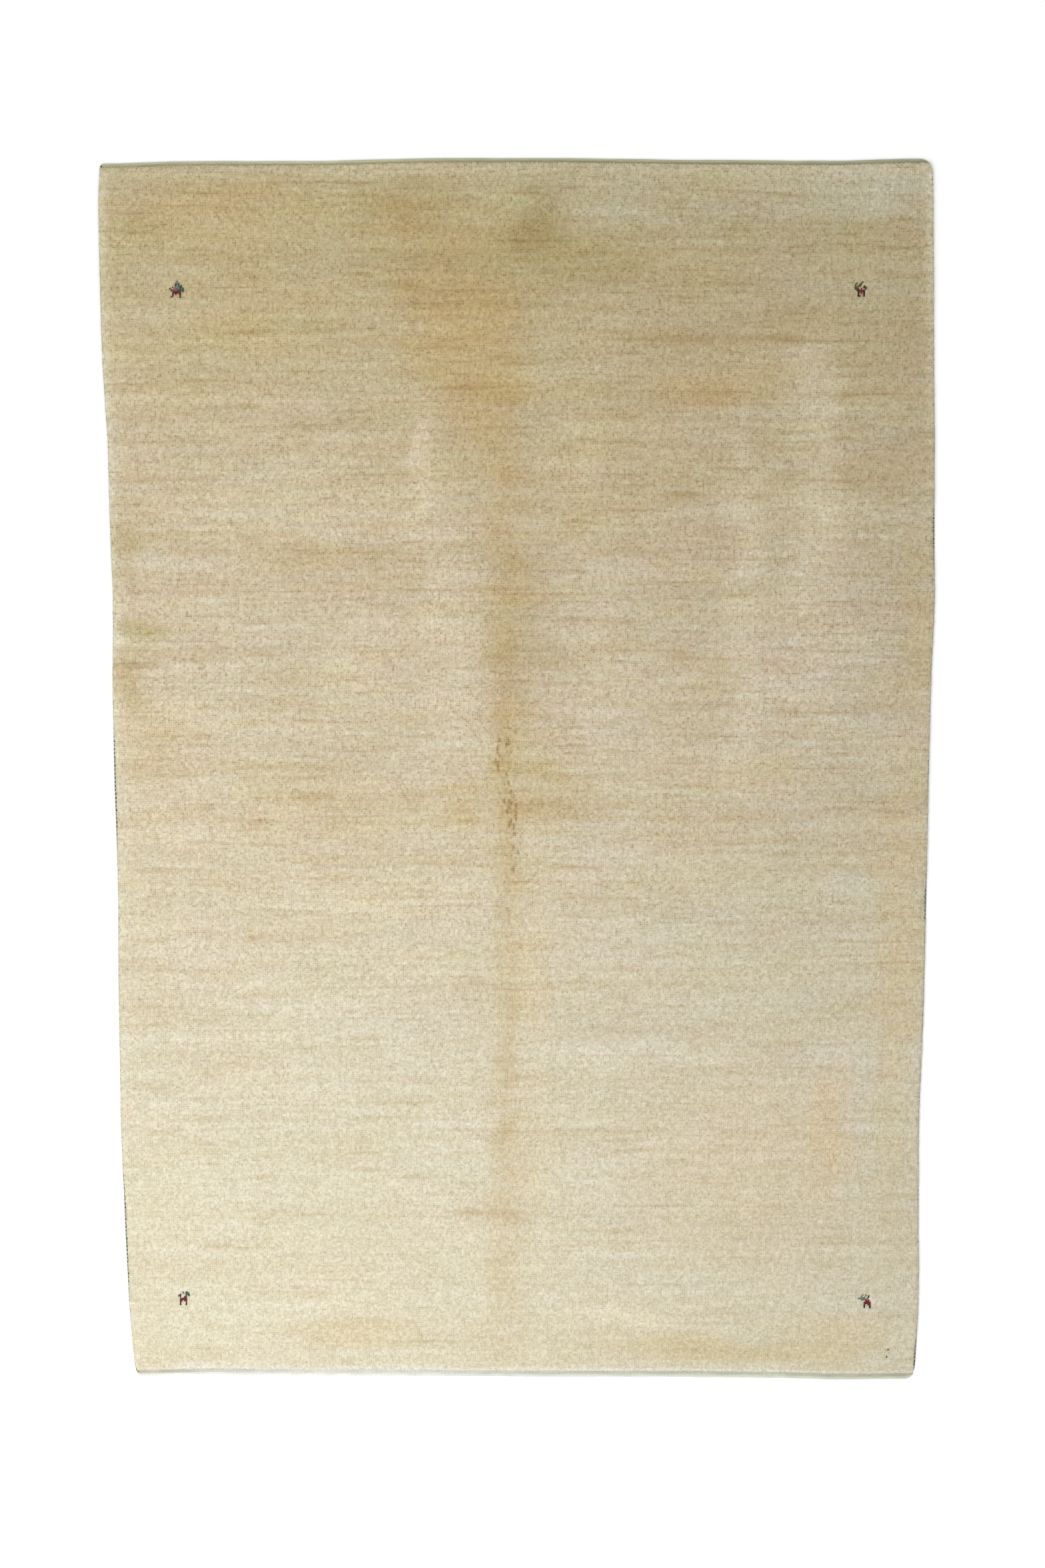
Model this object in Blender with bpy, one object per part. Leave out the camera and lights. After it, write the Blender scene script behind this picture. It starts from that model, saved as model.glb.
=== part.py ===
"""A hand-knotted wool gabbeh rug, about 2 m wide and 3 m long, lying flat on its back.

It is one woven piece: a thick field of clipped pile with a thin flat-woven hem at each end.
A wool cord is overcast along each long edge. +X is across the rug, +Y runs along its warps
to the end that was woven last, and +Z is up, out of the pile.
"""

import math
from collections import namedtuple

import bmesh
import bpy

# The columns of the short tables below
SideRow = namedtuple("SideRow", "along left_out right_out")
EndRow = namedtuple("EndRow", "across first_out last_out")
CreaseRow = namedtuple("CreaseRow", "along across depth")
Swell = namedtuple("Swell", "height across along phase")

# Driving dimensions, in metres
WIDTH = 2.000
LENGTH = 3.000
PILE_TOP = 0.0130
SIDE_WALL = 0.0060
HEM_THICKNESS = 0.0042
HEM_WIDTH = {"first": 0.0145, "last": 0.0095}
SELVEDGE_THICKNESS = 0.0058
GAP = 0.0003

# How far the clipped pile rounds over at the rim, and the hem's own small round
SIDE_ROUND = 0.0130
END_ROUND = 0.0100
HEM_ROUND = 0.0016

# Corners of the woven piece: radius of each, by end and side
CORNER_RADIUS = {
    ("first", "left"): 0.013,
    ("first", "right"): 0.029,
    ("last", "left"): 0.009,
    ("last", "right"): 0.035,
}

# The long edges were woven by eye: how far each stands outside the straight line
SIDE_WANDER = (
    SideRow(-1.500, -0.027, 0.000),
    SideRow(-1.440, -0.021, 0.003),
    SideRow(-1.360, -0.014, 0.007),
    SideRow(-1.260, -0.010, 0.007),
    SideRow(-1.050, -0.005, 0.002),
    SideRow(-0.850, -0.001, -0.001),
    SideRow(-0.540, -0.002, 0.005),
    SideRow(-0.240, -0.006, 0.006),
    SideRow(0.060, -0.002, 0.006),
    SideRow(0.260, -0.003, 0.007),
    SideRow(0.450, -0.008, 0.012),
    SideRow(0.650, -0.004, 0.007),
    SideRow(0.840, -0.003, 0.004),
    SideRow(1.030, 0.006, -0.002),
    SideRow(1.200, 0.008, -0.006),
    SideRow(1.400, 0.008, -0.011),
    SideRow(1.500, 0.003, -0.014),
)

# The ends pull in a little where the warps are tighter
END_WANDER = (
    EndRow(-1.000, 0.002, -0.005),
    EndRow(-0.920, 0.002, -0.004),
    EndRow(-0.800, -0.001, 0.001),
    EndRow(-0.500, 0.002, 0.001),
    EndRow(-0.200, 0.003, 0.008),
    EndRow(0.100, 0.005, 0.008),
    EndRow(0.430, 0.005, 0.004),
    EndRow(0.650, 0.008, 0.002),
    EndRow(0.800, 0.012, 0.002),
    EndRow(0.930, 0.011, 0.007),
    EndRow(1.000, 0.006, 0.004),
)

# The soft crease left by folding the rug lengthwise: where it runs, and how deep it still is
CREASE = (
    CreaseRow(-1.480, -0.040, 0.0000),
    CreaseRow(-1.050, -0.035, 0.0006),
    CreaseRow(-0.500, -0.022, 0.0009),
    CreaseRow(0.050, -0.010, 0.0016),
    CreaseRow(0.450, -0.018, 0.0018),
    CreaseRow(0.950, -0.030, 0.0012),
    CreaseRow(1.480, -0.050, 0.0003),
)
CREASE_HALF_WIDTH = 0.045

# Slow rises and hollows of the pile: the wavelengths across and along, and where each starts
SWELLS = (
    Swell(0.0005, 0.83, 1.17, 0.4),
    Swell(0.0004, -0.47, 0.71, 2.1),
    Swell(0.0003, 0.31, -0.53, 4.0),
)

# Where the sections of the woven piece lie
PLAIN_ROW_PITCH = 0.095
PLAIN_COLUMNS = 6
SELVEDGE_SIDES = 8
SELVEDGE_TURNS_CORNER = 0.45


def read(table, name, at):
    """Reads a named column where the table's first column is at, eased between its rows."""
    places = [row[0] for row in table]
    values = [getattr(row, name) for row in table]
    if at <= places[0]:
        return values[0]
    for low, high, before, after in zip(places, places[1:], values, values[1:]):
        if at <= high:
            share = (at - low) / (high - low)
            return before + (after - before) * share * share * (3 - 2 * share)
    return values[-1]


def side_x(side, y):
    """The plain long edge at y, before its corners are rounded."""
    sign = -1 if side == "left" else 1
    return sign * (WIDTH / 2 + read(SIDE_WANDER, side + "_out", y))


def end_y(end, x):
    """The edge of an end at x."""
    sign = -1 if end == "first" else 1
    return sign * (LENGTH / 2 + read(END_WANDER, end + "_out", x))


def corner_inset(end, side, from_end):
    """How far a rounded corner draws the long edge in, at a distance from the end."""
    radius = CORNER_RADIUS[end, side]
    if from_end >= radius:
        return 0.0
    return radius - math.sqrt(radius**2 - (radius - from_end) ** 2)


def edge_x(side, y):
    """The long edge of the woven piece inside its selvedge, at a straight-line y."""
    sign = -1 if side == "left" else 1
    end = "first" if y < 0 else "last"
    inset = SELVEDGE_THICKNESS + GAP + corner_inset(end, side, LENGTH / 2 - abs(y))
    return side_x(side, y) - sign * inset


def quarter_round(distance, radius):
    """0 at the rim and 1 from radius inwards, along a quarter circle."""
    inside = min(max(distance / radius, 0.0), 1.0)
    return math.sqrt(1 - (1 - inside) ** 2)


def pile_swell(x, y):
    """The slow unevenness of the clipped pile, and the fold's crease."""
    height = 0.0
    for swell in SWELLS:
        turns = x / swell.across + y / swell.along
        height += swell.height * math.sin(2 * math.pi * turns + swell.phase)
    off_crease = abs(x - read(CREASE, "across", y)) / CREASE_HALF_WIDTH
    if off_crease < 1:
        depth = read(CREASE, "depth", y)
        height -= depth * 0.5 * (1 + math.cos(math.pi * off_crease))
    return height


def top_height(x, y, from_side, from_end, end):
    """The height of the woven piece's upper face."""
    hem = HEM_WIDTH[end]
    if from_end <= hem:
        return HEM_THICKNESS * (0.5 + 0.5 * quarter_round(from_end, HEM_ROUND))
    rise = quarter_round(from_side, SIDE_ROUND)
    rise = min(rise, quarter_round(from_end - hem, END_ROUND))
    top = PILE_TOP + pile_swell(x, y) * rise
    return SIDE_WALL + (top - SIDE_WALL) * rise


def row_places():
    """Where the sections across the rug lie: straight-line y, distance from the end, and end."""
    rows = []
    for end in ("first", "last"):
        hem = HEM_WIDTH[end]
        near = [0, 0.0006, HEM_ROUND, 0.5 * hem, hem]
        near += [hem + share * END_ROUND for share in (0.03, 0.15, 0.4, 1.0)]
        near += [0.029, 0.040, 0.060, 0.090]
        side = -1 if end == "first" else 1
        rows += [(side * (LENGTH / 2 - place), place, end) for place in near]
    plain_half = LENGTH / 2 - 0.090
    count = round(2 * plain_half / PLAIN_ROW_PITCH)
    for step in range(1, count):
        y = -plain_half + step * 2 * plain_half / count
        rows.append((y, LENGTH / 2 - abs(y), "first" if y < 0 else "last"))
    return sorted(rows)


def between(start, finish, count):
    """Evenly spaced places strictly between start and finish."""
    return [start + (finish - start) * step / (count + 1) for step in range(1, count + 1)]


def columns_at(y):
    """Where the lengthwise lines cross the section at y: each x and its distance from the side."""
    left, right = edge_x("left", y), edge_x("right", y)
    rim = [share * SIDE_ROUND for share in (0, 0.03, 0.15, 0.4, 1.0, 2.5)]
    crease = read(CREASE, "across", y)
    fold = [crease + share * CREASE_HALF_WIDTH for share in (-1, -0.5, 0, 0.5, 1)]
    xs = [left + place for place in rim]
    xs += between(left + rim[-1], fold[0], PLAIN_COLUMNS)
    xs += fold
    xs += between(fold[-1], right - rim[-1], PLAIN_COLUMNS)
    xs += [right - place for place in reversed(rim)]
    return [(x, min(x - left, right - x)) for x in xs]


def end_drift(x, y):
    """How far the uneven ends push a section's point along the rug."""
    share = (y + LENGTH / 2) / LENGTH
    first = end_y("first", x) + LENGTH / 2
    last = end_y("last", x) - LENGTH / 2
    return first + (last - first) * share


def outline_box():
    """The lowest and highest x and y of the whole rug, selvedges included."""
    rows = row_places()
    xs = [edge_x("left", row[0]) - SELVEDGE_THICKNESS - GAP for row in rows]
    xs += [edge_x("right", row[0]) + SELVEDGE_THICKNESS + GAP for row in rows]
    ys = [end_y(end, row.across) for end in ("first", "last") for row in END_WANDER]
    return min(xs), max(xs), min(ys), max(ys)


LOW_X, HIGH_X, LOW_Y, HIGH_Y = outline_box()
CENTRE_X = 0.5 * (LOW_X + HIGH_X)
CENTRE_Y = 0.5 * (LOW_Y + HIGH_Y)


def placed(x, y, z):
    """A point of the rug, with the middle of its outline over the origin."""
    return (x - CENTRE_X, y + end_drift(x, y) - CENTRE_Y, z)


def wool(name, colour, roughness):
    """A dyed-wool finish."""
    material = bpy.data.materials.new(name)
    material.use_nodes = True
    shader = material.node_tree.nodes["Principled BSDF"]
    shader.inputs["Base Color"].default_value = (*colour, 1.0)
    shader.inputs["Roughness"].default_value = roughness
    shader.inputs["Metallic"].default_value = 0.0
    return material


def add_object(name, bm, material):
    """Turns a finished bmesh into a named object."""
    bmesh.ops.recalc_face_normals(bm, faces=bm.faces)
    mesh = bpy.data.meshes.new(name)
    bm.to_mesh(mesh)
    bm.free()
    mesh.materials.append(material)
    mesh.shade_smooth()
    mesh.set_sharp_from_angle(angle=math.radians(40))
    part = bpy.data.objects.new(name, mesh)
    bpy.context.scene.collection.objects.link(part)
    return part


def make_body():
    """The woven piece: an upper face of pile and hems over a flat back."""
    bm = bmesh.new()
    tops, backs = [], []
    for y, from_end, end in row_places():
        points = columns_at(y)
        heights = [top_height(x, y, from_side, from_end, end) for x, from_side in points]
        tops.append([bm.verts.new(placed(x, y, z)) for (x, _), z in zip(points, heights)])
        backs.append([bm.verts.new(placed(x, y, 0.0)) for x, _ in points])
    for grid in (tops, backs):
        for lower, upper in zip(grid, grid[1:]):
            for step in range(len(lower) - 1):
                bm.faces.new((lower[step], lower[step + 1], upper[step + 1], upper[step]))
    for top, back in ((tops[0], backs[0]), (tops[-1], backs[-1])):
        for step in range(len(top) - 1):
            bm.faces.new((top[step], top[step + 1], back[step + 1], back[step]))
    for side in (0, -1):
        for row in range(len(tops) - 1):
            here, there = tops[row][side], tops[row + 1][side]
            bm.faces.new((here, there, backs[row + 1][side], backs[row][side]))
    return add_object("rug_body", bm, wool("knotted_wool", (0.60, 0.53, 0.38), 0.95))


def selvedge_route(side):
    """The selvedge's middle line: the woven edge pushed out by half the cord."""
    sign = -1 if side == "left" else 1
    reach = SELVEDGE_THICKNESS / 2 + GAP
    edge = []
    for y, from_end, end in row_places():
        if from_end >= SELVEDGE_TURNS_CORNER * CORNER_RADIUS[end, side]:
            edge.append(placed(edge_x(side, y), y, 0.0)[:2])
    route = []
    for here, point in enumerate(edge):
        before, after = edge[max(here - 1, 0)], edge[min(here + 1, len(edge) - 1)]
        along_x, along_y = after[0] - before[0], after[1] - before[1]
        length = math.hypot(along_x, along_y)
        out_x, out_y = sign * along_y / length, -sign * along_x / length
        route.append((point[0] + reach * out_x, point[1] + reach * out_y, out_x, out_y))
    return route


def make_selvedge(side):
    """A cord overcast along one long edge, resting on the floor, with blunt round ends."""
    bm = bmesh.new()
    radius = SELVEDGE_THICKNESS / 2
    route = selvedge_route(side)
    rings = []
    for here, (x, y, out_x, out_y) in enumerate(route):
        size = 0.6 if here in (0, len(route) - 1) else 1.0
        ring = []
        for step in range(SELVEDGE_SIDES):
            angle = 2 * math.pi * (step + 0.5) / SELVEDGE_SIDES
            across = size * radius * math.cos(angle)
            up = radius * math.cos(math.pi / SELVEDGE_SIDES) + size * radius * math.sin(angle)
            ring.append(bm.verts.new((x + across * out_x, y + across * out_y, up)))
        rings.append(ring)
    for ring, following in zip(rings, rings[1:]):
        for step in range(SELVEDGE_SIDES):
            nxt = (step + 1) % SELVEDGE_SIDES
            bm.faces.new((ring[step], ring[nxt], following[nxt], following[step]))
    bm.faces.new(rings[0])
    bm.faces.new(rings[-1])
    return add_object("selvedge_" + side, bm, wool("overcast_" + side, (0.42, 0.43, 0.33), 0.9))


for old in list(bpy.data.objects):
    bpy.data.objects.remove(old)

make_body()
make_selvedge("left")
make_selvedge("right")
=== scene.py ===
# %% [markdown]
# # A gabbeh rug, knot by knot
#
# A gabbeh is a thick hand-knotted rug of hand-spun wool. Its warps run along +Y. Rows of
# knots are tied across them, each knot stands up as a tuft, and all the tufts are clipped to
# one height. At both ends the weaver leaves a narrow band with no knots, which is turned
# under as a hem, and wraps yarn round the outer warps to make a cord along each long edge.
#
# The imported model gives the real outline, the thickness and the soft fold. This lesson lays
# the wool on that frame: a backing cloth, a field of knots in lengthwise strips, four small
# goats in finer knots, two ribbed hems and two wrapped cords.

# %% Load the frame
import math

import bpy
import numpy as np
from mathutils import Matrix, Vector
from mathutils.bvhtree import BVHTree


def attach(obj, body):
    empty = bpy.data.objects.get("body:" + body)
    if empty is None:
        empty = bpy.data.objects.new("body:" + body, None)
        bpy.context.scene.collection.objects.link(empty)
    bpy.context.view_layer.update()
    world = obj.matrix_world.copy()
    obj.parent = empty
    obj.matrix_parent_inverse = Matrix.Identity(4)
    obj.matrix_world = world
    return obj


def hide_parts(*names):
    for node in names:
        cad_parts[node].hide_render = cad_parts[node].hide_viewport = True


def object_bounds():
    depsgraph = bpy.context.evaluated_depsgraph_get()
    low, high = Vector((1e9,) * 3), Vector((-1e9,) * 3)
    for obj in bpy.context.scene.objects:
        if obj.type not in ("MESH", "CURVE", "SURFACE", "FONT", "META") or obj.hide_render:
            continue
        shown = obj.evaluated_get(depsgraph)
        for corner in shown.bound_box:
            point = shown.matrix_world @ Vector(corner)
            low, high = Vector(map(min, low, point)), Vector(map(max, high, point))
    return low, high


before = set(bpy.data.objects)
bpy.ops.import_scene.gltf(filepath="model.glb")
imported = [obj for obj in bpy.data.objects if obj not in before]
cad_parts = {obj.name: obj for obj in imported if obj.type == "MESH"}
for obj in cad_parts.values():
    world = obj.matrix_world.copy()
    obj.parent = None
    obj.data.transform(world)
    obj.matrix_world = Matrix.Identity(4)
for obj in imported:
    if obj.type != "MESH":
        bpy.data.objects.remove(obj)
cad_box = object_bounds()
rug_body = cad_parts["rug_body"]
print("frame:", sorted(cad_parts), "size", [round(b - a, 4) for a, b in zip(*cad_box)])

# %% [markdown]
# ## Sizes
#
# Everything is worked out from a few real sizes. A field knot here covers about 5.4 mm each
# way. The real ones are nearer 4 mm, but one of this size is the smallest that lets the whole
# field be real geometry and stay a mesh that a viewer can open. The material draws the finer
# strands inside each tuft.

# %% Driving sizes, in metres
MM = 0.001
KNOT_ACROSS = 5.4 * MM
KNOT_ALONG = 5.5 * MM
PILE_STRIPS = 5
SELVEDGE = 5.8 * MM
HEM_WIDTH = {"first": 14.5 * MM, "last": 9.5 * MM}
BACKING = 3.4 * MM

rng = np.random.default_rng(1405)

# %% [markdown]
# ## The outline, read from the frame
#
# No weaver's edge is straight. The frame already has this rug's own wander, so the lesson
# measures it: rays along the floor find where the woven piece begins and ends, and rays from
# above find how high its surface is. The photo's corners are a little squarer than the frame's,
# so each side's last few centimetres are redrawn with a radius of their own.

# %% Rays that find the woven piece
faces = [tuple(face.vertices) for face in rug_body.data.polygons]
corners = [rug_body.matrix_world @ vertex.co for vertex in rug_body.data.vertices]
woven = BVHTree.FromPolygons(corners, faces)
RAY_HEIGHT = 1.0 * MM
FAR = 3.0


def edge_from(x, y, step_x, step_y):
    """Where a ray along the floor meets the woven piece."""
    return woven.ray_cast(Vector((x, y, RAY_HEIGHT)), Vector((step_x, step_y, 0)))[0]


ends_y = [edge_from(0, side * FAR, 0, -side).y for side in (-1, 1)]
along = np.linspace(ends_y[0] - 4 * MM, ends_y[1] + 4 * MM, 601)
hits = [(edge_from(-FAR, y, 1, 0), edge_from(FAR, y, -1, 0)) for y in along]
known = np.array([a is not None and b is not None for a, b in hits])
sides = np.array([(a.x, b.x) for a, b in hits if a is not None and b is not None])
along = along[known]
across = np.linspace(sides[:, 0].min() + 48 * MM, sides[:, 1].max() - 66 * MM, 241)
ends = np.array([(edge_from(x, -FAR, 0, 1).y, edge_from(x, FAR, 0, -1).y) for x in across])

# The left and right side: how far in it runs straight, and its first and last corner's radius
CORNERS = ((14 * MM, 13 * MM, 10 * MM), (40 * MM, 28 * MM, 32 * MM))


def corner_drop(inset, radius):
    """How far a round corner has left its line, at an inset from the other line."""
    turn = np.clip(1 - inset / radius, 0, 1)
    return radius * (1 - np.sqrt(1 - turn**2))


for side, (straight, *radii) in enumerate(CORNERS):
    for end, radius in enumerate(radii):
        inward = 1 - 2 * end
        depth = (along - ends[-side, end]) * inward
        from_x = np.interp(ends[-side, end] + inward * straight, along, sides[:, side])
        turned = from_x + corner_drop(depth, radius) * (1 - 2 * side)
        sides[:, side] = np.where(depth < straight, turned, sides[:, side])


def side_at(y, which):
    """The woven piece's left (0) or right (1) edge at y."""
    return np.interp(y, along, sides[:, which])


def end_at(x, which):
    """The woven piece's first (0) or last (1) end at x."""
    return np.interp(x, across, ends[:, which])


def height_at(x, y):
    """How high the frame's upper face is, looked at from above."""
    found = [woven.ray_cast(Vector((a, b, 1.0)), Vector((0, 0, -1)))[0] for a, b in zip(x, y)]
    return np.array([0.0 if hit is None else hit.z for hit in found])


print("outline read at", len(along), "rows and", len(across), "columns")

# %% [markdown]
# ## Colour
#
# The wool is hand-spun and dyed in small lots, so it is never one colour. Here it pales from
# olive beige at the end woven last to cream at the end woven first, and honey, olive and rose
# lots drift through it. Dyers call the bands abrash. Each knot's colour is worked out from its
# place by a function, and stored on the mesh, so that the tufts, the rim and the backing agree.

# %% Colour helpers
LATTICE = (64, 1024)


def linear(colour):
    """An sRGB hex value, or an array of sRGB values, as the linear numbers Blender keeps."""
    if isinstance(colour, str):
        colour = [int(colour[start : start + 2], 16) / 255 for start in (1, 3, 5)]
    colour = np.asarray(colour, float)
    return np.where(colour <= 0.04045, colour / 12.92, ((colour + 0.055) / 1.055) ** 2.4)


def soft_noise(x, y, size_x, size_y, seed):
    """Smooth noise from -1 to 1, about one lump in each size_x by size_y."""
    wide, tall = LATTICE
    lattice = np.random.default_rng(seed).uniform(-1, 1, LATTICE)
    u, v = x / size_x + wide // 2, y / size_y + tall // 2
    column, row = np.floor(u).astype(int), np.floor(v).astype(int)
    fx, fy = u - column, v - row
    fx, fy = fx * fx * (3 - 2 * fx), fy * fy * (3 - 2 * fy)
    left, right, low, high = column % wide, (column + 1) % wide, row % tall, (row + 1) % tall
    lower = lattice[left, low] * (1 - fx) + lattice[right, low] * fx
    upper = lattice[left, high] * (1 - fx) + lattice[right, high] * fx
    return lower * (1 - fy) + upper * fy


# %% The wool's tones and lots
TONES_ALONG = (
    (1.50, "#b8ae8d"),
    (1.30, "#b8ab88"),
    (1.00, "#bcaf8f"),
    (0.60, "#c2b69b"),
    (0.20, "#c6bba3"),
    (-0.10, "#c8bea5"),
    (-0.60, "#cdc6b1"),
    (-1.50, "#d0cab4"),
)
LIGHTER_LEFT = 0.030
DARKER_RIGHT = 0.062

# Soft lots: middle x and y, half width and half height in metres, colour, strength
SOFT_LOTS = (
    (-0.72, 1.39, 0.24, 0.08, "#bd9c62", 0.34),
    (-0.26, 1.40, 0.14, 0.07, "#a68a52", 0.42),
    (0.03, 1.36, 0.07, 0.06, "#8f7b4f", 0.45),
    (-0.68, 1.11, 0.12, 0.06, "#c2a067", 0.28),
    (-0.16, 1.27, 0.26, 0.10, "#ab9763", 0.28),
    (0.14, 1.26, 0.22, 0.09, "#a38f60", 0.34),
    (-0.16, 1.10, 0.14, 0.20, "#b8955c", 0.34),
    (-0.07, 0.92, 0.10, 0.12, "#b8975f", 0.20),
    (0.50, 0.97, 0.18, 0.06, "#b59b62", 0.30),
    (0.84, 1.42, 0.18, 0.08, "#c3c2b4", 0.55),
    (0.30, 1.42, 0.34, 0.06, "#b7b29c", 0.30),
    (0.70, 0.97, 0.07, 0.14, "#cbc3aa", 0.50),
    (0.72, 0.72, 0.07, 0.20, "#cdc3ab", 0.50),
    (0.54, 0.46, 0.045, 0.46, "#d0c8b2", 0.50),
    (0.14, 0.74, 0.05, 0.20, "#c8bb9a", 0.45),
    (-0.55, 0.70, 0.28, 0.08, "#d6cab0", 0.35),
    (-0.47, 0.56, 0.16, 0.05, "#c3ab7c", 0.35),
    (-0.25, 0.78, 0.03, 0.16, "#d6cab2", 0.60),
    (-0.22, 0.46, 0.06, 0.16, "#d4c9b0", 0.35),
    (0.70, 0.36, 0.12, 0.26, "#cdc3ad", 0.40),
    (0.02, 0.36, 0.10, 0.26, "#b09e78", 0.34),
    (0.20, 0.28, 0.07, 0.26, "#d0c5ae", 0.30),
    (-0.38, 0.31, 0.12, 0.06, "#d8cdb4", 0.50),
    (-0.18, 0.32, 0.07, 0.30, "#d4c9b0", 0.30),
    (0.48, 0.27, 0.10, 0.03, "#b7a987", 0.40),
    (-0.96, 0.58, 0.05, 0.05, "#ae9d72", 0.40),
    (-0.92, 0.37, 0.06, 0.03, "#ab9b68", 0.50),
    (-0.96, 0.26, 0.04, 0.07, "#b3a370", 0.40),
    (-0.90, 0.08, 0.10, 0.16, "#ccb68a", 0.25),
    (-0.54, 0.06, 0.18, 0.016, "#b9aa86", 0.55),
    (0.06, -0.005, 0.13, 0.065, "#b69c6c", 0.32),
    (0.08, 0.030, 0.10, 0.016, "#af9868", 0.22),
    (0.09, -0.032, 0.12, 0.016, "#ab9464", 0.25),
    (0.46, 0.02, 0.20, 0.06, "#c2ad82", 0.25),
    (-0.15, -0.04, 0.06, 0.04, "#c2a670", 0.30),
    (-0.52, -0.06, 0.24, 0.05, "#c2ac7e", 0.22),
    (-0.36, -0.28, 0.22, 0.04, "#ddd4bd", 0.40),
    (-0.25, -0.42, 0.10, 0.05, "#d2c9b4", 0.35),
    (0.03, -0.45, 0.05, 0.20, "#cfbd97", 0.30),
    (0.03, -0.93, 0.06, 0.18, "#cab890", 0.25),
    (-0.46, -1.26, 0.14, 0.07, "#dfd7c2", 0.30),
    (0.55, -0.95, 0.26, 0.24, "#cfb896", 0.22),
    (0.77, -0.85, 0.05, 0.16, "#cdb28a", 0.35),
    (0.97, 0.40, 0.04, 0.20, "#b7a67c", 0.40),
    (0.94, -0.45, 0.06, 0.60, "#c6b388", 0.32),
    (0.26, -1.35, 0.14, 0.03, "#ddd4bc", 0.40),
    (-0.40, -1.39, 0.16, 0.04, "#ccb686", 0.25),
    (0.52, -1.42, 0.34, 0.030, "#c0ae80", 0.40),
    (0.82, -1.38, 0.14, 0.05, "#c6b288", 0.30),
)

# The fold's band of painted shade, in a honey tone: y, x, half width and strength
CREASE_BAND = (
    (1.50, -0.050, 0.040, 0.00),
    (1.00, -0.044, 0.060, 0.16),
    (0.60, -0.036, 0.060, 0.28),
    (0.25, -0.038, 0.044, 0.28),
    (0.05, -0.040, 0.030, 0.26),
    (-0.10, -0.034, 0.030, 0.28),
    (-0.25, -0.030, 0.030, 0.22),
    (-0.45, -0.034, 0.036, 0.16),
    (-0.85, -0.038, 0.034, 0.22),
    (-1.15, -0.036, 0.050, 0.16),
    (-1.50, -0.040, 0.060, 0.05),
)
CREASE_SHADE_HONEY = "#ae9159"

# Painted sheen makes the pile that leans over the first hem paler: x, how many mm it reaches, and strength
LEANING = (
    (-0.95, -0.85, -0.60, -0.35, -0.10, 0.30, 0.60, 1.00),
    (10, 30, 22, 26, 16, 14, 12, 10),
    (0.2, 0.9, 0.9, 0.9, 0.9, 0.8, 0.7, 0.5),
)
# Painted sheen colours where the pile leans over the first and the last hem
LEANING_SHEEN = {"first": "#dedcd2", "last": "#ccc6ae"}
LAST_REACH = 45 * MM
LAST_SHARE = 0.5

# The rims are paler too, a painted sheen where the pile rounds over. For the left and the right: from y to y,
# and the strength at both
RIM_SHEEN = "#d6d4bf"
RIM_BAND = 32 * MM
RIM_SHARES = (((-0.8, 0.6), (0.20, 0.50)), ((0.6, 1.2), (0.05, 0.50)))

# Lighter and darker yarn, row by row: amount, width and height of a lump in metres, seed
YARN_NOISE = (
    (0.010, 0.020, 0.0055, 21),
    (0.015, 0.055, 0.006, 22),
    (0.024, 0.20, 0.0070, 23),
    (0.012, 0.7, 0.016, 24),
    (0.015, 0.45, 0.045, 25),
    (0.012, 0.11, 0.040, 26),
)

# A slit gets a brown painted shade, and light lost between the tufts is made up for
SLIT_SHADE_BROWN = "#a06c3c"
SLIT_SHADE_SHARE = 0.26
CLIP_LOSS = 1.068


def srgb(code):
    """An sRGB hex value as three numbers from 0 to 1."""
    return np.array([int(code[start : start + 2], 16) / 255 for start in (1, 3, 5)])


def blended(colour, target, share):
    """colour moved towards a target colour by a share for each point."""
    return colour + (srgb(target) - colour) * share[:, None]


def wool_colour_and_painted_light(x, y):
    """The wool's sRGB colour at each place, with painted shade along the fold."""
    order = sorted(TONES_ALONG)
    places = [row[0] for row in order]
    shades = np.array([srgb(row[1]) for row in order])
    drift = 0.10 * soft_noise(x, y, 0.5, 0.25, 7)
    colour = np.stack([np.interp(y + drift, places, shades[:, band]) for band in range(3)], 1)
    lift = np.interp(x, (-1, 0, 1), (LIGHTER_LEFT, 0, -DARKER_RIGHT))
    colour *= (1 + lift)[:, None]
    wobble_x = x + 0.03 * soft_noise(x, y, 0.12, 0.05, 11)
    wobble_y = y + 0.04 * soft_noise(x, y, 0.20, 0.04, 12)
    for middle_x, middle_y, half_x, half_y, tint, strength in SOFT_LOTS:
        reach = ((wobble_x - middle_x) / half_x) ** 2 + ((wobble_y - middle_y) / half_y) ** 2
        colour = blended(colour, tint, strength * np.exp(-(reach**1.4)))
    # Painted shade along the fold, in a honey tone
    band = np.array(sorted(CREASE_BAND))
    middle = np.interp(y, band[:, 0], band[:, 1]) + 0.010 * soft_noise(x, y, 0.2, 0.05, 13)
    half = np.interp(y, band[:, 0], band[:, 2])
    strength = np.interp(y, band[:, 0], band[:, 3]) * (1 + 0.6 * soft_noise(x, y, 0.1, 0.02, 14))
    colour = blended(colour, CREASE_SHADE_HONEY, strength * np.exp(-(((x - middle) / half) ** 2)))
    warm = 0.5 * soft_noise(x, y, 0.22, 0.06, 15) + 0.5 * soft_noise(x, y, 0.09, 0.022, 16)
    rose = 0.5 * soft_noise(x, y, 0.16, 0.07, 17) + 0.5 * soft_noise(x, y, 0.05, 0.018, 18)
    lively = np.interp(y, (-1.4, -0.4, 0.3, 1.5), (0.35, 0.8, 1.2, 1.1))
    shift = warm[:, None] * (0.002, -0.006, -0.024) + rose[:, None] * (0.005, -0.007, 0.004)
    return colour + shift * lively[:, None]


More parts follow.
